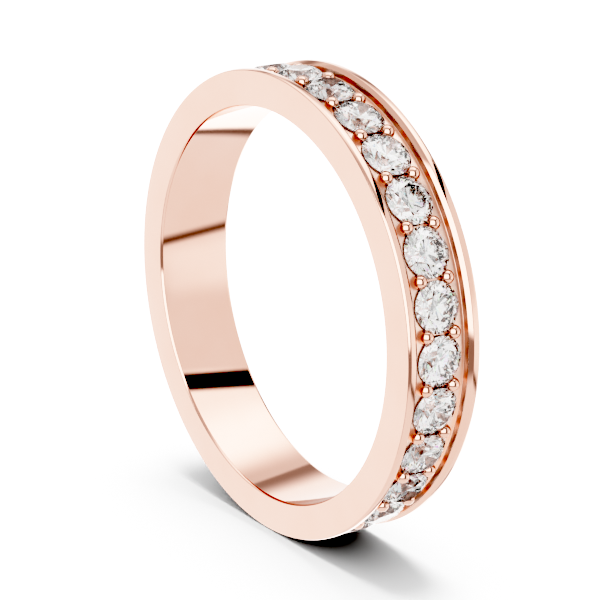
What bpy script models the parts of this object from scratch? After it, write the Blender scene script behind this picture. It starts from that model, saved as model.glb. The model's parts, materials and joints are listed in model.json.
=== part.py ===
"""A channel-railed eternity wedding band: one cast shank and a full circle of round brilliants.

The band stands on its rim: its bore axis is +Y, +Z is up, and the origin is the centre of the bore.
Run it with: blender --background --python part.py
"""

import math

import bmesh
import bpy
from mathutils import Matrix, Vector

MM = 0.001

# ---- Stones -----------------------------------------------------------------------------------
STONE_DIAMETER = 2.08 * MM
STONE_GAP = 0.075 * MM  # the least metal left between two girdles
GIRDLE_THICKNESS = 0.06 * MM
TABLE_SHARE = 0.57  # of the diameter, across the corners of the table
CROWN_ANGLE = math.radians(34.5)
PAVILION_ANGLE = math.radians(40.75)
STAR_SHARE = 0.50  # how far a star facet reaches from the table towards the girdle
LOWER_HALF_SHARE = 0.77  # how far a lower half facet reaches from the girdle towards the culet

# ---- Seats ------------------------------------------------------------------------------------
SEAT_CLEARANCE = 0.015 * MM  # all round a stone
PILOT_RADIUS = 0.30 * MM  # the drilled hole under each stone, which stops short of the bore
PILOT_BELOW_CULET = 0.06 * MM
METAL_UNDER_PILOT = 0.204 * MM  # what the drill leaves between a pilot hole and the bore

# ---- Band -------------------------------------------------------------------------------------
BORE_RADIUS = 8.46 * MM  # a US size 6 1/2 finger, 16.92 mm across
RAIL_WIDTH = 0.49 * MM  # side face to channel wall
STONE_TO_WALL = 0.22 * MM  # girdle to channel wall
GIRDLE_BELOW_RAILS = 0.35 * MM  # top of the rails to the middle of the girdle
FLOOR_BELOW_GIRDLE = 0.05 * MM  # middle of the girdle to the channel's floor
RAIL_CHAMFER = 0.155 * MM  # at 45 degrees, on the channel side of each rail
EDGE_BEVEL_RADIAL = 0.045 * MM  # the broken edges of the side faces, measured along the radius
EDGE_BEVEL_AXIAL = 0.11 * MM  # and along the axis

# ---- Beads ------------------------------------------------------------------------------------
BEAD_RADIUS = 0.30 * MM
BEAD_GRIP = 0.076 * MM  # how far a bead reaches in over a girdle
BEAD_BELOW_RAILS = 0.02 * MM  # top of the rails to the top of a bead
BEAD_ROOT = 0.10 * MM  # how far the post runs on below the floor, into the casting

# ---- Resolution -------------------------------------------------------------------------------
RING_STEPS_PER_STONE = 3
GIRDLE_SIDES = 16
BEAD_SIDES = 8
BEAD_DOME_STEPS = 2
MERGE_DISTANCE = 0.001 * MM
CUT_TOLERANCE = 1e-5  # on a stone of radius 1
SMOOTH_UP_TO = math.radians(20)  # edges sharper than this stay crisp in the finished surface

# ---- Sizes that follow ------------------------------------------------------------------------
STONE_RADIUS = STONE_DIAMETER / 2
CULET_DEPTH = GIRDLE_THICKNESS / 2 + STONE_RADIUS * math.tan(PAVILION_ANGLE)  # below the girdle's middle
PILOT_DEPTH = CULET_DEPTH + PILOT_BELOW_CULET
GIRDLE_PLANE_RADIUS = BORE_RADIUS + METAL_UNDER_PILOT + PILOT_DEPTH
RAIL_RADIUS = GIRDLE_PLANE_RADIUS + GIRDLE_BELOW_RAILS
FLOOR_RADIUS = GIRDLE_PLANE_RADIUS - FLOOR_BELOW_GIRDLE
STONE_COUNT = math.floor(2 * math.pi * GIRDLE_PLANE_RADIUS / (STONE_DIAMETER + STONE_GAP))
STONE_PITCH = 2 * math.pi / STONE_COUNT
CHANNEL_HALF_WIDTH = STONE_RADIUS + STONE_TO_WALL
BAND_HALF_WIDTH = CHANNEL_HALF_WIDTH + RAIL_WIDTH
BEAD_TO_STONE = STONE_RADIUS + BEAD_RADIUS - BEAD_GRIP  # centre to centre
BEAD_ALONG = GIRDLE_PLANE_RADIUS * math.sin(STONE_PITCH / 2)  # the part of it along the channel
BEAD_ACROSS = math.sqrt(BEAD_TO_STONE**2 - BEAD_ALONG**2)  # and the part across
EIGHTH = math.pi / 4
SIXTEENTH = math.pi / 8


def make_collection(name, hidden=False):
    collection = bpy.data.collections.new(name)
    bpy.context.scene.collection.children.link(collection)
    collection.hide_render = hidden
    return collection


def make_material(name, colour, metallic, roughness, transmission=0.0, ior=1.5):
    material = bpy.data.materials.new(name)
    material.use_nodes = True
    shader = material.node_tree.nodes["Principled BSDF"]
    shader.inputs["Base Color"].default_value = (*colour, 1.0)
    shader.inputs["Metallic"].default_value = metallic
    shader.inputs["Roughness"].default_value = roughness
    shader.inputs["Transmission Weight"].default_value = transmission
    shader.inputs["IOR"].default_value = ior
    return material


def make_object(name, mesh, collection, material=None):
    obj = bpy.data.objects.new(name, mesh)
    collection.objects.link(obj)
    if material is not None and not mesh.materials:
        mesh.materials.append(material)
    return obj


def hide_tool(obj):
    """A cutter or a blank that only shapes another piece."""
    obj.hide_render = True
    obj.display_type = "WIRE"
    return obj


def place_on_band(obj, angle, radius, across=0.0):
    """Stands an object on the band with its own +Z pointing away from the finger."""
    obj.rotation_euler = (0.0, angle, 0.0)
    obj.location = (radius * math.sin(angle), across, radius * math.cos(angle))


def outline_mesh(name, points, closed):
    """The edges of a turned shape's outline, with points as (radius, height) in the XZ plane."""
    mesh = bpy.data.meshes.new(name)
    edges = [(i, i + 1) for i in range(len(points) - 1)]
    if closed:
        edges.append((len(points) - 1, 0))
    mesh.from_pydata([(radius, 0.0, height) for radius, height in points], edges, [])
    return mesh


def add_turning(obj, steps):
    """Turns the object's outline about its own Z axis."""
    screw = obj.modifiers.new("turning", "SCREW")
    screw.axis = "Z"
    screw.steps = steps
    screw.render_steps = steps
    screw.use_merge_vertices = True
    screw.merge_threshold = MERGE_DISTANCE
    screw.use_smooth_shade = True


def add_boolean(obj, operation, tools):
    boolean = obj.modifiers.new(operation.lower(), "BOOLEAN")
    boolean.operation = operation
    boolean.solver = "EXACT"
    boolean.operand_type = "COLLECTION"
    boolean.collection = tools


# ---- Brilliants -------------------------------------------------------------------------------
# Worked out for a stone of radius 1 whose girdle lies in the XY plane and whose table faces +Z.


def polar(radius, angle, height):
    return Vector((radius * math.cos(angle), radius * math.sin(angle), height))


def brilliant_heights():
    """Half the girdle, the table's height, and a star's and a lower half's tip as (radius, height)."""
    girdle = GIRDLE_THICKNESS / STONE_DIAMETER
    table = girdle + (1 - TABLE_SHARE) * math.tan(CROWN_ANGLE)
    table_side = TABLE_SHARE * math.cos(SIXTEENTH)
    star_radius = table_side + STAR_SHARE * (1 - table_side)
    star = (star_radius, girdle + math.tan(CROWN_ANGLE) * (1 - star_radius * math.cos(SIXTEENTH)))
    half_radius = 1 - LOWER_HALF_SHARE
    drop = math.tan(PAVILION_ANGLE) * (1 - half_radius * math.cos(SIXTEENTH))
    return girdle, table, star, (half_radius, -girdle - drop)


def facet_planes():
    """Every facet as three points on it."""
    girdle, table, star, half = brilliant_heights()
    planes = [[polar(1, turn * EIGHTH, table) for turn in range(3)]]
    for eighth in range(8):
        middle = eighth * EIGHTH
        ridge = middle + SIXTEENTH
        # Bezel and pavilion main, each tangent to the girdle at its middle.
        for height, angle in ((girdle, CROWN_ANGLE), (-girdle, -PAVILION_ANGLE)):
            foot = polar(1, middle, height)
            along = Vector((-math.sin(middle), math.cos(middle), 0.0))
            rise = polar(-math.cos(angle), middle, math.sin(angle))
            planes.append([foot, foot + along, foot + rise])
        star_tip = polar(star[0], ridge, star[1])
        half_tip = polar(half[0], ridge, half[1])
        table_corners = [polar(TABLE_SHARE, middle + turn, table) for turn in (0, EIGHTH)]
        planes.append([*table_corners, star_tip])
        for side in (middle, middle + EIGHTH):
            planes.append([star_tip, polar(1, side, girdle), polar(1, ridge, girdle)])
            planes.append([half_tip, polar(1, side, -girdle), polar(1, ridge, -girdle)])
    return planes


def cut_facet(bm, points):
    """Grinds away whatever lies outside the plane through three points."""
    origin = points[0]
    normal = (points[1] - origin).cross(points[2] - origin).normalized()
    if normal.dot(origin) < 0:
        normal = -normal
    geometry = bm.verts[:] + bm.edges[:] + bm.faces[:]
    bmesh.ops.bisect_plane(
        bm, geom=geometry, dist=CUT_TOLERANCE, plane_co=origin, plane_no=normal, clear_outer=True
    )
    rim = [edge for edge in bm.edges if edge.is_boundary]
    if rim:
        bmesh.ops.holes_fill(bm, edges=rim, sides=0)


def brilliant_mesh():
    """A round brilliant cut of 57 facets, ground out of a cylinder one facet at a time."""
    bm = bmesh.new()
    rough_length = 4  # longer than the finished stone at either end
    bmesh.ops.create_cone(
        bm, cap_ends=True, segments=GIRDLE_SIDES, radius1=1, radius2=1, depth=rough_length
    )
    for points in facet_planes():
        cut_facet(bm, points)
    bmesh.ops.remove_doubles(bm, verts=bm.verts, dist=CUT_TOLERANCE)
    bmesh.ops.recalc_face_normals(bm, faces=bm.faces)
    bmesh.ops.scale(bm, vec=(STONE_RADIUS,) * 3, verts=bm.verts)
    mesh = bpy.data.meshes.new("round_brilliant")
    bm.to_mesh(mesh)
    bm.free()
    return mesh


# ---- Shank ------------------------------------------------------------------------------------


def shank_outline():
    """The band's section as (radius, distance along the bore axis), down the outer side first."""
    side = BAND_HALF_WIDTH
    wall = CHANNEL_HALF_WIDTH
    upper_half = [
        (FLOOR_RADIUS, wall),
        (RAIL_RADIUS - RAIL_CHAMFER, wall),
        (RAIL_RADIUS, wall + RAIL_CHAMFER),
        (RAIL_RADIUS, side - EDGE_BEVEL_AXIAL),
        (RAIL_RADIUS - EDGE_BEVEL_RADIAL, side),
        (BORE_RADIUS + EDGE_BEVEL_RADIAL, side),
        (BORE_RADIUS, side - EDGE_BEVEL_AXIAL),
    ]
    lower_half = [(radius, -height) for radius, height in reversed(upper_half)]
    return list(reversed(upper_half + lower_half))


def seat_outline():
    """The space a stone needs: crown, girdle and pavilion with clearance, then the drilled pilot."""
    girdle, _, star, half = brilliant_heights()
    crown_slope = (star[1] - girdle) / (1 - star[0])
    pavilion_slope = (-girdle - half[1]) / (1 - half[0])
    rim = STONE_RADIUS + SEAT_CLEARANCE
    lip = GIRDLE_THICKNESS / 2 + SEAT_CLEARANCE
    top = GIRDLE_BELOW_RAILS + 2 * BEAD_RADIUS
    top_radius = rim - (top - lip) / crown_slope
    cone_end = lip + (rim - PILOT_RADIUS) * pavilion_slope
    return [
        (0.0, top),
        (top_radius, top),
        (rim, lip),
        (rim, -lip),
        (PILOT_RADIUS, -cone_end),
        (PILOT_RADIUS, -PILOT_DEPTH),
        (0.0, -PILOT_DEPTH),
    ]


def bead_outline():
    """A round post with a ball top, whose height is measured from the channel's floor."""
    top = RAIL_RADIUS - BEAD_BELOW_RAILS - FLOOR_RADIUS
    dome = []
    for step in range(BEAD_DOME_STEPS + 1):
        turn = step / BEAD_DOME_STEPS * math.pi / 2
        dome.append((BEAD_RADIUS * math.sin(turn), top - BEAD_RADIUS * (1 - math.cos(turn))))
    return dome + [(BEAD_RADIUS, -BEAD_ROOT), (0.0, -BEAD_ROOT)]


def make_seat_cutters(collection):
    mesh = outline_mesh("seat_cutter", seat_outline(), closed=False)
    for index in range(STONE_COUNT):
        cutter = hide_tool(make_object(f"seat_cutter_{index + 1:02d}", mesh, collection))
        add_turning(cutter, GIRDLE_SIDES)
        place_on_band(cutter, index * STONE_PITCH, GIRDLE_PLANE_RADIUS)


def make_bead_blanks(collection):
    mesh = outline_mesh("bead_blank", bead_outline(), closed=False)
    for index in range(STONE_COUNT):
        for side, across in (("front", -BEAD_ACROSS), ("back", BEAD_ACROSS)):
            blank = hide_tool(make_object(f"bead_blank_{side}_{index + 1:02d}", mesh, collection))
            add_turning(blank, BEAD_SIDES)
            place_on_band(blank, (index + 0.5) * STONE_PITCH, FLOOR_RADIUS, across)


def apply_modifiers(obj):
    """Keeps the finished surface as the object's own mesh, shaded smooth between its sharp edges."""
    graph = bpy.context.evaluated_depsgraph_get()
    mesh = bpy.data.meshes.new_from_object(obj.evaluated_get(graph), depsgraph=graph)
    mesh.name = obj.name
    obj.modifiers.clear()
    obj.data = mesh
    mesh.shade_smooth()
    mesh.set_sharp_from_angle(angle=SMOOTH_UP_TO)


def make_shank(collection, material, beads, seats):
    """The casting: rails, channel floor, beads and seats in one piece of metal."""
    mesh = outline_mesh("shank", shank_outline(), closed=True)
    shank = make_object("shank", mesh, collection, material)
    # The outline is turned about Z, so the finished ring is laid over to bring its bore onto Y.
    shank.rotation_euler = (-math.pi / 2, 0.0, 0.0)
    add_turning(shank, RING_STEPS_PER_STONE * STONE_COUNT)
    add_boolean(shank, "UNION", beads)
    add_boolean(shank, "DIFFERENCE", seats)
    bpy.context.view_layer.update()
    apply_modifiers(shank)
    return shank


def make_stones(collection, material):
    mesh = brilliant_mesh()
    for index in range(STONE_COUNT):
        stone = make_object(f"diamond_{index + 1:02d}", mesh, collection, material)
        place_on_band(stone, index * STONE_PITCH, GIRDLE_PLANE_RADIUS)


def main():
    for obj in list(bpy.data.objects):
        bpy.data.objects.remove(obj, do_unlink=True)
    band = make_collection("wedding_band")
    seats = make_collection("seat_cutters", hidden=True)
    beads = make_collection("bead_blanks", hidden=True)
    rose_gold = make_material("rose_gold", (0.92, 0.64, 0.55), metallic=1.0, roughness=0.06)
    diamond = make_material(
        "diamond", (1.0, 1.0, 1.0), metallic=0.0, roughness=0.0, transmission=1.0, ior=2.417
    )
    make_seat_cutters(seats)
    make_bead_blanks(beads)
    make_shank(band, rose_gold, beads, seats)
    make_stones(band, diamond)


main()
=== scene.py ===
"""The looks of an eternity wedding band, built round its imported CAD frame.

The shank and the brilliants of the frame are coarse, so each gets a finely cut stand-in of the same
size in the same place, with its own procedural material. Then come the light, the floor and the camera.
"""

import json
import math

import bmesh
import bpy
from mathutils import Matrix, Vector

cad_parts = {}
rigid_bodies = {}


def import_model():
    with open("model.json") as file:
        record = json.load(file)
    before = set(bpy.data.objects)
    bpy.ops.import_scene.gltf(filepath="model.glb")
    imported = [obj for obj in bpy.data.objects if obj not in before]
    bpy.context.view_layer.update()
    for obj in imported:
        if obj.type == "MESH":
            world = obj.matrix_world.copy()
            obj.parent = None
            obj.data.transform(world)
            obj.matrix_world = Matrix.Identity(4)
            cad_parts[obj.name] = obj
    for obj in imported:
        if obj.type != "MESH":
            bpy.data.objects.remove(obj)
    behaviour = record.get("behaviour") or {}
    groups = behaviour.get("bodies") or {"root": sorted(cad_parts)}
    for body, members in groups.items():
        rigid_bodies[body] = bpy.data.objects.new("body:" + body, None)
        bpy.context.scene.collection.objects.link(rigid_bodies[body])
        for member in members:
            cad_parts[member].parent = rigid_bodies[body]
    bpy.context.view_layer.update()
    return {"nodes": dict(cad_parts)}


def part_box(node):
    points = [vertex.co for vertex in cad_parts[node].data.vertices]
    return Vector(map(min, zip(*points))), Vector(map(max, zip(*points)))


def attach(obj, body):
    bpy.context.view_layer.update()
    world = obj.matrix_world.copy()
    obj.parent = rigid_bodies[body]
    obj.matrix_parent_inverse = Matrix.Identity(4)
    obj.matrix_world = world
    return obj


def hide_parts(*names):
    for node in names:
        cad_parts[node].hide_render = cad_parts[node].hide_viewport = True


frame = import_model()

MM = 0.001

# ---- Sizes read from the frame ----------------------------------------------------------------
shank_low, shank_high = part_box("shank")
stone_low, stone_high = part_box("diamond_01")
STONE_NODES = sorted(name for name in frame["nodes"] if name.startswith("diamond_"))
STONE_COUNT = len(STONE_NODES)
STONE_PITCH = 2 * math.pi / STONE_COUNT
RAIL_RADIUS = shank_high.z
BAND_WIDTH = shank_high.y - shank_low.y
STONE_RADIUS = (stone_high.y - stone_low.y) / 2

# ---- The shank's section, as in the CAD -------------------------------------------------------
WALL = 1.54 * MM
EDGE_BEVEL_RADIAL = 0.045 * MM
EDGE_BEVEL_AXIAL = 0.11 * MM
CHANNEL_WIDTH = 2.52 * MM
CHANNEL_DEPTH = 0.40 * MM
RAIL_CHAMFER = 0.155 * MM
LAND_CROWN = 1.45 * MM  # radius of the slight dome polished onto the top of each rail
EDGE_ROUND = 0.045 * MM  # polishing leaves no edge sharper than this
FLOOR_ROUND = 0.03 * MM  # the fillet where a rail's wall meets the channel's floor

# ---- Beads and seats --------------------------------------------------------------------------
BEAD_RADIUS = 0.30 * MM
BEAD_SPACING = 1.31 * MM
BEAD_BELOW_RAILS = 0.02 * MM
BEAD_ROOT = 0.10 * MM
BEAD_MARGIN = 1.02  # faces this near a bead, in bead radii, count as its own
SEAT_CLEARANCE = 0.004 * MM
PILOT_RADIUS = 0.30 * MM
PILOT_BELOW_CULET = 0.06 * MM

# ---- The cut of a brilliant, as in the CAD ----------------------------------------------------
GIRDLE_THICKNESS = 0.06 * MM
TABLE_SHARE = 0.57
CROWN_ANGLE = math.radians(34.5)
PAVILION_ANGLE = math.radians(40.75)
STAR_SHARE = 0.50
LOWER_HALF_SHARE = 0.77

# ---- How finely the stand-ins are cut ---------------------------------------------------------
RING_STEPS_PER_STONE = 14
ROUND_STEPS = 4
CROWN_STEPS = 8
GIRDLE_SIDES = 96
SEAT_SIDES = 96
BEAD_SIDES = 40
BEAD_DOME_STEPS = 10
MERGE_DISTANCE = 0.0005 * MM

SMOOTH_UP_TO = math.radians(28)  # edges sharper than this stay crisp
CUT_TOLERANCE = 1e-5  # on a stone of radius 1
GIRDLE_SLOPE = 5e-7  # a stone's faces that lean less than this are its girdle

# ---- Studio -----------------------------------------------------------------------------------
CAMERA_AZIMUTH = 55.59
CAMERA_ELEVATION = 17.45
CAMERA_DISTANCE = 9.755 * RAIL_RADIUS
SENSOR_WIDTH = 36.0
LENS = 138.4
CLIP_START = 1.0 * MM
FLOOR_DISC_RADIUS = 0.6
FLOOR_DISC_SIDES = 96
FLOOR_COLOUR = (0.92, 0.92, 0.92)
FLOOR_ROUGHNESS = 0.8
PLAIN_LIGHT = 1.2  # what the camera sees in place of the cards
FLOOR_FILL = 0.62  # what the floor sees in place of the cards
# The lamp over the set: where it stands as azimuth and elevation, its strength and its angle in degrees.
OVERHEAD_FROM = (-130, 83)
OVERHEAD_STRENGTH = 0.65 * math.pi
OVERHEAD_SPREAD = 30
MAX_BOUNCES = 24
STONE_BOUNCES = 16
TONE_TOE = 0.095  # darker than this comes out black
TONE_GAIN = 4.6
TONE_POWER = 1.2
TONE_STEPS = 14

# ---- Surface detail on the stones -------------------------------------------------------------
DIAMOND_IOR = 2.417
CLEAR = (1.0, 1.0, 1.0)
FAINT_TINT = (0.985, 0.98, 0.965)
TINT_SIZE = 0.8 * MM
FACET_RELIEF = 0.00002 * MM  # what facet polishing leaves
FACET_GRAIN = 0.05 * MM
GIRDLE_ROUGHNESS = 0.3  # the girdle is ground, not polished
GIRDLE_RELIEF = 0.002 * MM
GIRDLE_GRAIN = 0.02 * MM

# ---- Surface detail on the gold ---------------------------------------------------------------
POLISHED_GOLD = (0.80, 0.535, 0.46)
POLISHED_ROUGHNESS = 0.03
POLISHED_LINES = 0.0002 * MM  # the depth of the polishing lines
POLISHED_WEAR = 0.08
CHANNEL_GOLD = (0.84, 0.63, 0.56)
CHANNEL_ROUGHNESS = 0.26
CHANNEL_LINES = 0.0004 * MM
LINE_SPACING = 0.05 * MM  # between the lines that turning and buffing leave round the band
LINE_ROUGHNESS = 0.02
HAZE_SIZE = 3.0 * MM  # patches of faint haze left by handling
HAZE_ROUGHNESS = 0.03
TARNISH = (0.985, 0.965, 0.955)
TARNISH_RANGE = (0.35, 0.75)
RUB_SIZE = 0.16 * MM  # small rubs from wear
RUB_RANGE = (0.52, 0.72)  # how much of the noise shows as a rub
RUB_DEPTH = 0.12 * MM  # how far in from the rails' tops the rubs reach
RUB_RELIEF = 0.6
FACE_WEAR = 0.015

EIGHTH = math.pi / 4
SIXTEENTH = math.pi / 8
BORE_RADIUS = RAIL_RADIUS - WALL
FLOOR_RADIUS = RAIL_RADIUS - CHANNEL_DEPTH
TABLE_HEIGHT = STONE_RADIUS * (1 - TABLE_SHARE) * math.tan(CROWN_ANGLE) + GIRDLE_THICKNESS / 2
GIRDLE_PLANE_RADIUS = stone_high.z - TABLE_HEIGHT
SECTOR_REACH = STONE_PITCH  # half the length of metal that a sector is cut from


# ---- Node helpers -----------------------------------------------------------------------------

# A Mix node's sockets for colours, which share their names with those for numbers.
COLOUR_A = 6
COLOUR_B = 7
COLOUR_RESULT = 2


class Nodes:
    """A short way to write a node tree: each call adds a node and returns its first output."""

    def __init__(self, tree):
        self.tree = tree

    def add(self, kind, inputs=(), **settings):
        node = self.tree.nodes.new(kind)
        for name, value in settings.items():
            setattr(node, name, value)
        for key, value in dict(inputs).items():
            self.feed(node.inputs[key], value)
        return node

    def feed(self, socket, value):
        if isinstance(value, bpy.types.NodeSocket):
            self.tree.links.new(value, socket)
        else:
            socket.default_value = value

    def math(self, operation, *values, clamp=False):
        node = self.add("ShaderNodeMath", enumerate(values), operation=operation, use_clamp=clamp)
        return node.outputs[0]

    def dot(self, vector, direction):
        node = self.add("ShaderNodeVectorMath", {0: vector, 1: direction}, operation="DOT_PRODUCT")
        return node.outputs["Value"]

    def step(self, value, start, end):
        """0 below start, 1 above end, smooth in between; start may lie above end."""
        node = self.add(
            "ShaderNodeMapRange",
            {"Value": value, "From Min": start, "From Max": end},
            interpolation_type="SMOOTHSTEP",
        )
        return node.outputs["Result"]

    def noise(self, place, size, detail):
        """Noise between 0 and 1 with lumps of the given size in metres."""
        settings = {"Vector": place, "Scale": 1.0 / size, "Detail": detail, "Roughness": 0.6}
        return self.add("ShaderNodeTexNoise", settings).outputs[0]

    def mix_colours(self, share, first, second):
        node = self.add("ShaderNodeMix", {"Factor": share}, data_type="RGBA")
        self.feed(node.inputs[COLOUR_A], first)
        self.feed(node.inputs[COLOUR_B], second)
        return node.outputs[COLOUR_RESULT]

    def blend(self, share, first, second):
        node = self.add("ShaderNodeMix", {"Factor": share}, data_type="FLOAT")
        self.feed(node.inputs["A"], first)
        self.feed(node.inputs["B"], second)
        return node.outputs[0]


# ---- Materials --------------------------------------------------------------------------------


def principled(name, colour, metallic, roughness):
    material = bpy.data.materials.new(name)
    material.use_nodes = True
    shader = material.node_tree.nodes["Principled BSDF"]
    shader.inputs["Base Color"].default_value = (*colour, 1.0)
    shader.inputs["Metallic"].default_value = metallic
    shader.inputs["Roughness"].default_value = roughness
    return material, shader


def rose_gold(name, colour, polish, lines, wear):
    """Polished rose gold whose roughness comes from turned polishing lines, hairline rubs and faint haze.

    polish is the roughness where it is cleanest, lines the depth of the polishing lines in metres, and
    wear how strongly the rails' tops and edges are rubbed.
    """
    material, shader = principled(name, colour, 1.0, polish)
    nodes = Nodes(material.node_tree)
    place = nodes.add("ShaderNodeTexCoord").outputs["Object"]
    part = nodes.add("ShaderNodeSeparateXYZ", {0: place})
    from_axis = nodes.math(
        "SQRT",
        nodes.math(
            "ADD",
            nodes.math("MULTIPLY", part.outputs["X"], part.outputs["X"]),
            nodes.math("MULTIPLY", part.outputs["Z"], part.outputs["Z"]),
        ),
    )
    # Lines left by turning and buffing run round the band: they vary across it and outwards only.
    section = nodes.add("ShaderNodeCombineXYZ", {"X": from_axis, "Y": part.outputs["Y"]}).outputs[0]
    turned = nodes.noise(section, LINE_SPACING, detail=3.0)
    haze = nodes.noise(place, HAZE_SIZE, detail=2.0)
    rubs = nodes.noise(place, RUB_SIZE, detail=5.0)
    rubbed = nodes.step(rubs, *RUB_RANGE)
    outside = nodes.step(from_axis, RAIL_RADIUS - RUB_DEPTH, RAIL_RADIUS)
    worn = nodes.math("MULTIPLY", rubbed, nodes.math("MULTIPLY_ADD", outside, wear, FACE_WEAR))
    roughness = nodes.math("MULTIPLY_ADD", turned, LINE_ROUGHNESS, polish)
    roughness = nodes.math("MULTIPLY_ADD", haze, HAZE_ROUGHNESS, roughness)
    roughness = nodes.math("ADD", worn, roughness)
    nodes.feed(shader.inputs["Roughness"], roughness)
    tarnish = nodes.step(haze, *TARNISH_RANGE)
    tarnished = [channel * shade for channel, shade in zip(colour, TARNISH)]
    tinted = nodes.mix_colours(tarnish, (*colour, 1.0), (*tarnished, 1.0))
    nodes.feed(shader.inputs["Base Color"], tinted)
    relief = nodes.math("MULTIPLY_ADD", rubs, RUB_RELIEF, turned)
    bump = nodes.add("ShaderNodeBump", {"Strength": 1.0, "Distance": lines, "Height": relief})
    nodes.feed(shader.inputs["Normal"], bump.outputs["Normal"])
    return material


def diamond(name, roughness, relief, grain):
    """Clear diamond with a trace of body colour; relief is the depth of its surface's grain in metres."""
    material, shader = principled(name, CLEAR, 0.0, roughness)
    shader.inputs["Transmission Weight"].default_value = 1.0
    shader.inputs["IOR"].default_value = DIAMOND_IOR
    nodes = Nodes(material.node_tree)
    place = nodes.add("ShaderNodeTexCoord").outputs["Object"]
    tint = nodes.noise(place, TINT_SIZE, detail=1.0)
    body = nodes.mix_colours(tint, (*CLEAR, 1.0), (*FAINT_TINT, 1.0))
    nodes.feed(shader.inputs["Base Color"], body)
    surface = nodes.noise(place, grain, detail=2.0)
    bump = nodes.add("ShaderNodeBump", {"Strength": 1.0, "Distance": relief, "Height": surface})
    nodes.feed(shader.inputs["Normal"], bump.outputs["Normal"])
    return material


# ---- Shape helpers ----------------------------------------------------------------------------


def make_collection(name, hidden=False):
    collection = bpy.data.collections.new(name)
    bpy.context.scene.collection.children.link(collection)
    collection.hide_render = hidden
    return collection


def make_object(name, mesh, collection, material=None):
    obj = bpy.data.objects.new(name, mesh)
    collection.objects.link(obj)
    if material is not None:
        mesh.materials.append(material)
    return obj


def place_on_band(obj, angle, radius, across=0.0):
    """Stands an object on the band with its own +Z pointing away from the finger."""
    obj.rotation_euler = (0.0, angle, 0.0)
    obj.location = (radius * math.sin(angle), across, radius * math.cos(angle))


def turned_mesh(name, outline, steps):
    """Turns an outline of (radius, height) points, from one end on the axis to the other, about Z."""
    bm = bmesh.new()
    verts = [bm.verts.new((radius, 0.0, height)) for radius, height in outline]
    edges = [bm.edges.new(pair) for pair in zip(verts, verts[1:])]
    bmesh.ops.spin(
        bm, geom=verts + edges, axis=(0, 0, 1), cent=(0, 0, 0), angle=2 * math.pi, steps=steps
    )
    bmesh.ops.remove_doubles(bm, verts=bm.verts, dist=MERGE_DISTANCE)
    bmesh.ops.recalc_face_normals(bm, faces=bm.faces)
    mesh = bpy.data.meshes.new(name)
    bm.to_mesh(mesh)
    bm.free()
    return mesh


def rounded(corners):
    """A closed outline from (x, y, radius) corners, each rounded to its radius."""
    outline = []
    for index, (x, y, radius) in enumerate(corners):
        corner = Vector((x, y))
        before = Vector(corners[index - 1][:2]) - corner
        after = Vector(corners[(index + 1) % len(corners)][:2]) - corner
        if radius == 0:
            outline.append(corner)
            continue
        half = before.angle(after) / 2
        reach = radius / math.tan(half)
        centre = corner + (before.normalized() + after.normalized()).normalized() * (radius / math.sin(half))
        start = corner + before.normalized() * reach - centre
        sweep = (corner + after.normalized() * reach - centre).angle_signed(start)
        for step in range(ROUND_STEPS + 1):
            turn = sweep * step / ROUND_STEPS
            c, s = math.cos(turn), math.sin(turn)
            outline.append(centre + Vector((c * start.x - s * start.y, s * start.x + c * start.y)))
    return outline


def swept_mesh(outline, reach):
    """Sweeps a closed (radius, distance along the bore axis) outline round the bore, reach either way."""
    bm = bmesh.new()
    verts = [bm.verts.new((0.0, point.y, point.x)) for point in outline]
    face = bm.faces.new(verts)
    bmesh.ops.rotate(bm, verts=verts, cent=(0, 0, 0), matrix=Matrix.Rotation(-reach, 3, "Y"))
    steps = round(2 * reach / STONE_PITCH * RING_STEPS_PER_STONE)
    bmesh.ops.spin(
        bm, geom=[face, *face.edges, *verts], axis=(0, 1, 0), cent=(0, 0, 0), angle=2 * reach, steps=steps
    )
    bmesh.ops.recalc_face_normals(bm, faces=bm.faces)
    mesh = bpy.data.meshes.new("sweep")
    bm.to_mesh(mesh)
    bm.free()
    return mesh


# ---- Shank ------------------------------------------------------------------------------------


def land_arc(inner, outer):
    """The domed top of a rail as (radius, height), from its channel side to its outer side."""
    middle = (inner + outer) / 2
    points = []
    for step in range(CROWN_STEPS + 1):
        height = inner + (outer - inner) * step / CROWN_STEPS
        drop = LAND_CROWN - math.sqrt(LAND_CROWN**2 - (height - middle) ** 2)
        points.append((RAIL_RADIUS - drop, height))
    return points


def shank_outline():
    """The band's section as (radius, distance along the bore axis), all the way round."""
    side = BAND_WIDTH / 2
    wall = CHANNEL_WIDTH / 2
    land = land_arc(wall + RAIL_CHAMFER, side - EDGE_BEVEL_AXIAL)
    upper_half = [
        (FLOOR_RADIUS, wall, FLOOR_ROUND),
        (RAIL_RADIUS - RAIL_CHAMFER, wall, EDGE_ROUND),
        (*land[0], EDGE_ROUND),
        *[(*point, 0.0) for point in land[1:-1]],
        (*land[-1], EDGE_ROUND),
        (RAIL_RADIUS - EDGE_BEVEL_RADIAL, side, EDGE_ROUND),
        (BORE_RADIUS + EDGE_BEVEL_RADIAL, side, EDGE_ROUND),
        (BORE_RADIUS, side - EDGE_BEVEL_AXIAL, EDGE_ROUND),
    ]
    lower_half = [(radius, -height, edge) for radius, height, edge in reversed(upper_half)]
    return rounded(upper_half + lower_half)


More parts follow.
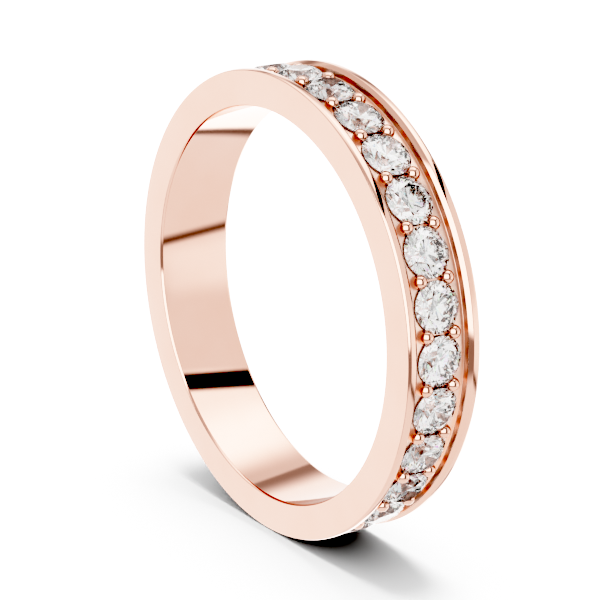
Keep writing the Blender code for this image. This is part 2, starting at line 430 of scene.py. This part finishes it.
def seat_outline():
    """The space a stone needs: crown, girdle and pavilion, then the drilled pilot."""
    girdle, _, star, half = brilliant_heights()
    crown_slope = (star[1] - girdle) / (1 - star[0])
    pavilion_slope = (-girdle - half[1]) / (1 - half[0])
    rim = STONE_RADIUS + SEAT_CLEARANCE
    lip = GIRDLE_THICKNESS / 2 + SEAT_CLEARANCE
    top = RAIL_RADIUS - GIRDLE_PLANE_RADIUS + BEAD_RADIUS
    cone_end = lip + (rim - PILOT_RADIUS) * pavilion_slope
    bottom = GIRDLE_THICKNESS / 2 + STONE_RADIUS * math.tan(PAVILION_ANGLE) + PILOT_BELOW_CULET
    return [
        (0.0, top),
        (rim - (top - lip) / crown_slope, top),
        (rim, lip),
        (rim, -lip),
        (PILOT_RADIUS, -cone_end),
        (PILOT_RADIUS, -bottom),
        (0.0, -bottom),
    ]


def bead_outline():
    """A round post with a ball top, whose height is measured from the channel's floor."""
    top = CHANNEL_DEPTH - BEAD_BELOW_RAILS
    dome = []
    for step in range(BEAD_DOME_STEPS + 1):
        turn = step / BEAD_DOME_STEPS * math.pi / 2
        dome.append((BEAD_RADIUS * math.sin(turn), top - BEAD_RADIUS * (1 - math.cos(turn))))
    return dome + [(BEAD_RADIUS, -BEAD_ROOT), (0.0, -BEAD_ROOT)]


def add_boolean(obj, operation, tools):
    boolean = obj.modifiers.new(operation.lower(), "BOOLEAN")
    boolean.operation = operation
    boolean.solver = "EXACT"
    boolean.operand_type = "COLLECTION"
    boolean.collection = tools


def sector_mesh():
    """One pitch of the band, from midway between two stones to midway between the next two.

    It is cut from a longer piece, so that the beads and seats at its ends meet those of the next sector.
    """
    workshop = make_collection("workshop", hidden=True)
    beads = make_collection("bead_blanks", hidden=True)
    seats = make_collection("seat_cutters", hidden=True)
    bead = turned_mesh("bead_blank", bead_outline(), BEAD_SIDES)
    seat = turned_mesh("seat_cutter", seat_outline(), SEAT_SIDES)
    for place in (-0.5, 0.5):
        for side in (-1, 1):
            blank = make_object("bead_blank", bead, beads)
            place_on_band(blank, place * STONE_PITCH, FLOOR_RADIUS, side * BEAD_SPACING / 2)
    for place in (-1, 0, 1):
        place_on_band(make_object("seat_cutter", seat, seats), place * STONE_PITCH, GIRDLE_PLANE_RADIUS)
    piece = make_object("sector", swept_mesh(shank_outline(), SECTOR_REACH), workshop)
    add_boolean(piece, "UNION", beads)
    add_boolean(piece, "DIFFERENCE", seats)
    bpy.context.view_layer.update()
    graph = bpy.context.evaluated_depsgraph_get()
    bm = bmesh.new()
    bm.from_mesh(piece.evaluated_get(graph).to_mesh())
    for end in (-0.5, 0.5):
        angle = end * STONE_PITCH
        outward = Vector((math.cos(angle), 0.0, -math.sin(angle))) * (1 if end > 0 else -1)
        geometry = bm.verts[:] + bm.edges[:] + bm.faces[:]
        bmesh.ops.bisect_plane(
            bm, geom=geometry, dist=MERGE_DISTANCE, plane_co=(0, 0, 0), plane_no=outward, clear_outer=True
        )
    mesh = bpy.data.meshes.new("sector")
    bm.to_mesh(mesh)
    bm.free()
    for collection in (workshop, beads, seats):
        for tool in list(collection.objects):
            bpy.data.objects.remove(tool, do_unlink=True)
        bpy.data.collections.remove(collection)
    return mesh


def in_channel(centre):
    """Whether a point of the shank's surface is on the channel's floor or walls, or in a seat."""
    radius = math.hypot(centre.x, centre.z)
    turns = math.atan2(centre.x, centre.z) / STONE_PITCH
    along = (turns - math.floor(turns) - 0.5) * STONE_PITCH * radius
    across = abs(centre.y) - BEAD_SPACING / 2
    on_bead = radius > FLOOR_RADIUS + MERGE_DISTANCE and math.hypot(along, across) < BEAD_RADIUS * BEAD_MARGIN
    below_chamfer = radius < RAIL_RADIUS - RAIL_CHAMFER - EDGE_ROUND / 2
    inside = abs(centre.y) < CHANNEL_WIDTH / 2 + EDGE_ROUND / 2 and radius > BORE_RADIUS + EDGE_BEVEL_RADIAL
    return inside and below_chamfer and not on_bead


def make_shank(collection, polished, satin):
    sector = sector_mesh()
    bm = bmesh.new()
    for index in range(STONE_COUNT):
        before = set(bm.verts)
        bm.from_mesh(sector)
        added = [vert for vert in bm.verts if vert not in before]
        bmesh.ops.rotate(bm, verts=added, cent=(0, 0, 0), matrix=Matrix.Rotation(index * STONE_PITCH, 3, "Y"))
    bmesh.ops.remove_doubles(bm, verts=bm.verts, dist=MERGE_DISTANCE)
    mesh = bpy.data.meshes.new("shank_finished")
    bm.to_mesh(mesh)
    bm.free()
    shank = make_object("shank_finished", mesh, collection)
    mesh.materials.clear()
    mesh.materials.append(polished)
    mesh.materials.append(satin)
    for face in mesh.polygons:
        face.material_index = int(in_channel(face.center))
    mesh.shade_smooth()
    mesh.set_sharp_from_angle(angle=SMOOTH_UP_TO)
    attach(shank, "root")
    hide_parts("shank")
    return shank


# ---- Brilliants -------------------------------------------------------------------------------
# Worked out for a stone of radius 1 whose girdle lies in the XY plane and whose table faces +Z.


def polar(radius, angle, height):
    return Vector((radius * math.cos(angle), radius * math.sin(angle), height))


def brilliant_heights():
    """Half the girdle, the table's height, and a star's and a lower half's tip as (radius, height)."""
    girdle = GIRDLE_THICKNESS / (2 * STONE_RADIUS)
    table = girdle + (1 - TABLE_SHARE) * math.tan(CROWN_ANGLE)
    table_side = TABLE_SHARE * math.cos(SIXTEENTH)
    star_radius = table_side + STAR_SHARE * (1 - table_side)
    star = (star_radius, girdle + math.tan(CROWN_ANGLE) * (1 - star_radius * math.cos(SIXTEENTH)))
    half_radius = 1 - LOWER_HALF_SHARE
    drop = math.tan(PAVILION_ANGLE) * (1 - half_radius * math.cos(SIXTEENTH))
    return girdle, table, star, (half_radius, -girdle - drop)


def facet_planes():
    """Every facet as three points on it."""
    girdle, table, star, half = brilliant_heights()
    planes = [[polar(1, turn * EIGHTH, table) for turn in range(3)]]
    for eighth in range(8):
        middle = eighth * EIGHTH
        ridge = middle + SIXTEENTH
        # Bezel and pavilion main, each tangent to the girdle at its middle.
        for height, angle in ((girdle, CROWN_ANGLE), (-girdle, -PAVILION_ANGLE)):
            foot = polar(1, middle, height)
            along = Vector((-math.sin(middle), math.cos(middle), 0.0))
            rise = polar(-math.cos(angle), middle, math.sin(angle))
            planes.append([foot, foot + along, foot + rise])
        star_tip = polar(star[0], ridge, star[1])
        half_tip = polar(half[0], ridge, half[1])
        table_corners = [polar(TABLE_SHARE, middle + turn, table) for turn in (0, EIGHTH)]
        planes.append([*table_corners, star_tip])
        for side in (middle, middle + EIGHTH):
            planes.append([star_tip, polar(1, side, girdle), polar(1, ridge, girdle)])
            planes.append([half_tip, polar(1, side, -girdle), polar(1, ridge, -girdle)])
    return planes


def cut_facet(bm, points):
    """Grinds away whatever lies outside the plane through three points."""
    origin = points[0]
    normal = (points[1] - origin).cross(points[2] - origin).normalized()
    if normal.dot(origin) < 0:
        normal = -normal
    geometry = bm.verts[:] + bm.edges[:] + bm.faces[:]
    bmesh.ops.bisect_plane(
        bm, geom=geometry, dist=CUT_TOLERANCE, plane_co=origin, plane_no=normal, clear_outer=True
    )
    rim = [edge for edge in bm.edges if edge.is_boundary]
    if rim:
        bmesh.ops.holes_fill(bm, edges=rim, sides=0)


def brilliant_mesh():
    """A round brilliant cut of 57 facets, ground out of a cylinder one facet at a time."""
    bm = bmesh.new()
    rough_length = 4  # longer than the finished stone at either end
    bmesh.ops.create_cone(
        bm, cap_ends=True, segments=GIRDLE_SIDES, radius1=1, radius2=1, depth=rough_length
    )
    for points in facet_planes():
        cut_facet(bm, points)
    bmesh.ops.remove_doubles(bm, verts=bm.verts, dist=CUT_TOLERANCE)
    bmesh.ops.recalc_face_normals(bm, faces=bm.faces)
    bmesh.ops.scale(bm, vec=(STONE_RADIUS,) * 3, verts=bm.verts)
    mesh = bpy.data.meshes.new("round_brilliant")
    bm.to_mesh(mesh)
    bm.free()
    return mesh


def make_stones(collection, polished, ground):
    mesh = brilliant_mesh()
    mesh.materials.append(polished)
    mesh.materials.append(ground)
    for face in mesh.polygons:
        face.material_index = int(abs(face.normal.z) < GIRDLE_SLOPE)
    for index, node in enumerate(STONE_NODES):
        stone = make_object(node.replace("diamond", "brilliant"), mesh, collection)
        place_on_band(stone, index * STONE_PITCH, GIRDLE_PLANE_RADIUS)
        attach(stone, "root")
        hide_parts(node)


# ---- Studio -----------------------------------------------------------------------------------


def toward(azimuth, elevation):
    """A unit vector: azimuth 0 faces -Y, the front of the band, and 90 faces +X."""
    a = math.radians(azimuth)
    e = math.radians(elevation)
    return Vector((math.sin(a) * math.cos(e), -math.cos(a) * math.cos(e), math.sin(e)))


# Each card is a soft-edged rectangle far away: its name, azimuth, elevation and roll, its half width
# and half height, the softness of its edge (all in degrees) and its brightness.
CARDS = (
    ("low_back", -122, 8, 0, 34, 18, 16, 0.90),
    ("back_step", -136, 47, 0, 30, 10, 2, 0.56),
    ("under_back", -132, -38, 0, 30, 18, 6, 1.30),
    ("ceiling", 60, 85, 0, 80, 42, 16, 0.44),
    ("back_top", -140, 74, 0, 66, 22, 20, 0.98),
    ("back_top_middle", -166, 60, 0, 16, 10, 22, 1.25),
    ("left_low", -58, -16, 0, 44, 26, 10, 0.84),
    ("front_left", -40, 44, 0, 32, 15, 8, 0.50),
    ("key", 52, 21, 0, 37, 32, 5, 1.28),
    ("back_right", 152, 8, 0, 36, 36, 3, 0.66),
    ("back_right_low", 152, -12, 0, 36, 14, 16, 0.86),
    ("dark_gap", 105, 22, 0, 9, 42, 5, 0.15),
    ("front_gap", -2, 0, 0, 12, 40, 5, 0.12),
    ("black_flag", 141, 47.0, 0, 20, 3.6, 2.6, 0.0),
    ("floor_line", 130, -28, 12, 24, 1.6, 4.0, 0.16),
    ("under_back_line", -153, -53.5, 0, 15, 1.8, 3.0, 0.20),
)
BASE_LIGHT = 0.28
GROUND_LIGHT = 0.70
GROUND_EDGE = (-0.5, -0.4)  # here and below, a height is that of a direction: -1 straight down, 1 straight up
# What the stones pass on: a share of the cards' light over an even fill, so their facets keep their greys.
STONE_LIGHT = 0.33
STONE_FILL = 0.16
STONE_LIFT = 0.20  # added for what comes from well above or below
LIFT_BELOW = (-0.3, -0.6)
LIFT_ABOVE = (0.7, 0.9)
# What gold reflects into gold, inside the channel.
CHANNEL_LIGHT = 0.50
CHANNEL_LIGHT_BELOW = 1.05
CHANNEL_BELOW = (-0.3, -0.65)
FIRE_SIZE = 0.10  # on a sphere of radius 1: the patches that give a facet a flash of colour
FIRE_RANGE = (0.60, 0.70)
FIRE_HUES = 3.0  # changes of hue across a patch
FIRE_SATURATION = 2.0
FIRE_VALUE = 1.7
FIRE_STRENGTH = 0.45


def card_mask(nodes, direction, card):
    _, azimuth, elevation, roll, half_width, half_height, soft, _ = card
    forward = toward(azimuth, elevation)
    right = forward.cross(Vector((0, 0, 1))).normalized()
    up = right.cross(forward)
    tilt = math.radians(roll)
    across = right * math.cos(tilt) + up * math.sin(tilt)
    along = up * math.cos(tilt) - right * math.sin(tilt)
    ahead = nodes.dot(direction, forward)
    masks = []
    for axis, half in ((across, half_width), (along, half_height)):
        offset = nodes.math("ABSOLUTE", nodes.math("ARCTAN2", nodes.dot(direction, axis), ahead))
        inner = math.radians(half - soft / 2)
        outer = math.radians(half + soft / 2)
        masks.append(nodes.step(offset, outer, inner))
    return nodes.math("MULTIPLY", *masks)


def make_world():
    world = bpy.data.worlds.new("studio")
    bpy.context.scene.world = world
    world.use_nodes = True
    tree = world.node_tree
    nodes = Nodes(tree)
    direction = nodes.add("ShaderNodeTexCoord").outputs["Generated"]
    height = nodes.add("ShaderNodeSeparateXYZ", {0: direction}).outputs["Z"]
    brightness = nodes.blend(nodes.step(height, *GROUND_EDGE), GROUND_LIGHT, BASE_LIGHT)
    for card in CARDS:
        brightness = nodes.blend(card_mask(nodes, direction, card), brightness, card[-1])
    path = nodes.add("ShaderNodeLightPath")
    in_stone = nodes.math("GREATER_THAN", path.outputs["Transmission Depth"], 0.5)
    below = nodes.step(height, *LIFT_BELOW)
    above_or_below = nodes.math("MAXIMUM", below, nodes.step(height, *LIFT_ABOVE))
    fill = nodes.math("MULTIPLY_ADD", above_or_below, STONE_LIFT, STONE_FILL)
    through_stone = nodes.math("MULTIPLY_ADD", brightness, STONE_LIGHT, fill)
    twice_reflected = nodes.math("GREATER_THAN", path.outputs["Glossy Depth"], 1.5)
    channel_below = nodes.step(height, *CHANNEL_BELOW)
    from_channel = nodes.blend(channel_below, CHANNEL_LIGHT, CHANNEL_LIGHT_BELOW)
    brightness = nodes.blend(twice_reflected, brightness, from_channel)
    brightness = nodes.blend(in_stone, brightness, through_stone)
    brightness = nodes.blend(path.outputs["Is Camera Ray"], brightness, PLAIN_LIGHT)
    brightness = nodes.blend(path.outputs["Is Diffuse Ray"], brightness, FLOOR_FILL)
    patches = nodes.step(nodes.noise(direction, FIRE_SIZE, detail=0.0), *FIRE_RANGE)
    fine = {"Vector": direction, "Scale": FIRE_HUES / FIRE_SIZE}
    hues = nodes.add("ShaderNodeTexNoise", fine).outputs["Color"]
    strong = {"Saturation": FIRE_SATURATION, "Value": FIRE_VALUE, "Color": hues}
    vivid = nodes.add("ShaderNodeHueSaturation", strong).outputs[0]
    share = nodes.math("MULTIPLY", nodes.math("MULTIPLY", patches, in_stone), FIRE_STRENGTH)
    tint = nodes.mix_colours(share, (1.0, 1.0, 1.0, 1.0), vivid)
    background = tree.nodes["Background"]
    nodes.feed(background.inputs["Color"], tint)
    nodes.feed(background.inputs["Strength"], brightness)


def make_floor(collection):
    bm = bmesh.new()
    bmesh.ops.create_circle(bm, cap_ends=True, segments=FLOOR_DISC_SIDES, radius=FLOOR_DISC_RADIUS)
    mesh = bpy.data.meshes.new("floor")
    bm.to_mesh(mesh)
    bm.free()
    material, _ = principled("pale_floor", FLOOR_COLOUR, 0.0, FLOOR_ROUGHNESS)
    floor = make_object("floor", mesh, collection, material)
    floor.location = (0.0, 0.0, shank_low.z)
    floor.visible_glossy = False
    floor.visible_transmission = False


def make_overhead(collection):
    """The lamp above the set: it throws the band's shadow on the floor and isn't seen in the band."""
    data = bpy.data.lights.new("overhead", "SUN")
    data.energy = OVERHEAD_STRENGTH
    data.angle = math.radians(OVERHEAD_SPREAD)
    lamp = bpy.data.objects.new("overhead", data)
    collection.objects.link(lamp)
    lamp.rotation_euler = toward(*OVERHEAD_FROM).to_track_quat("Z", "Y").to_euler()
    lamp.visible_glossy = False
    lamp.visible_transmission = False


def make_camera(collection):
    data = bpy.data.cameras.new("camera")
    data.sensor_width = SENSOR_WIDTH
    data.lens = LENS
    data.clip_start = CLIP_START
    camera = bpy.data.objects.new("camera", data)
    collection.objects.link(camera)
    away = toward(CAMERA_AZIMUTH, CAMERA_ELEVATION)
    camera.location = away * CAMERA_DISTANCE
    camera.rotation_euler = (-away).to_track_quat("-Z", "Y").to_euler()
    bpy.context.scene.camera = camera


def tone(brightness):
    """How light a brightness from 0 to 1 comes out: a deep toe, a quick rise, then a soft shoulder."""
    over_toe = max(brightness - TONE_TOE, 0.0)
    return 1 - math.exp(-TONE_GAIN * over_toe**TONE_POWER)


def set_tones():
    """Standard colours through the tone curve, whose points lie closest together just over the toe."""
    view = bpy.context.scene.view_settings
    view.view_transform = "Standard"
    view.look = "None"
    view.use_curve_mapping = True
    points = [(0.0, 0.0)]
    for step in range(TONE_STEPS + 1):
        brightness = TONE_TOE + (1 - TONE_TOE) * (step / TONE_STEPS) ** 2
        points.append((brightness, tone(brightness) / tone(1.0)))
    curve = view.curve_mapping.curves[3]
    for x, y in points[1:-1]:
        curve.points.new(x, y)
    for point, (x, y) in zip(curve.points, points):
        point.location = (x, y)
    view.curve_mapping.update()


def set_bounces():
    """Light crosses a stone many times. The floor takes none from the band, so its shadow stays neutral."""
    cycles = bpy.context.scene.cycles
    cycles.max_bounces = MAX_BOUNCES
    cycles.diffuse_bounces = 0
    cycles.glossy_bounces = STONE_BOUNCES
    cycles.transmission_bounces = STONE_BOUNCES


def main():
    make_world()
    band = make_collection("wedding_band")
    studio = make_collection("studio")
    polished = rose_gold(
        "rose_gold_polished", POLISHED_GOLD, POLISHED_ROUGHNESS, POLISHED_LINES, POLISHED_WEAR
    )
    satin = rose_gold("rose_gold_channel", CHANNEL_GOLD, CHANNEL_ROUGHNESS, CHANNEL_LINES, wear=0.0)
    make_shank(band, polished, satin)
    facets = diamond("diamond_polished", 0.0, FACET_RELIEF, FACET_GRAIN)
    girdle = diamond("diamond_ground_girdle", GIRDLE_ROUGHNESS, GIRDLE_RELIEF, GIRDLE_GRAIN)
    make_stones(band, facets, girdle)
    make_floor(studio)
    make_overhead(studio)
    make_camera(studio)
    set_tones()
    set_bounces()


main()
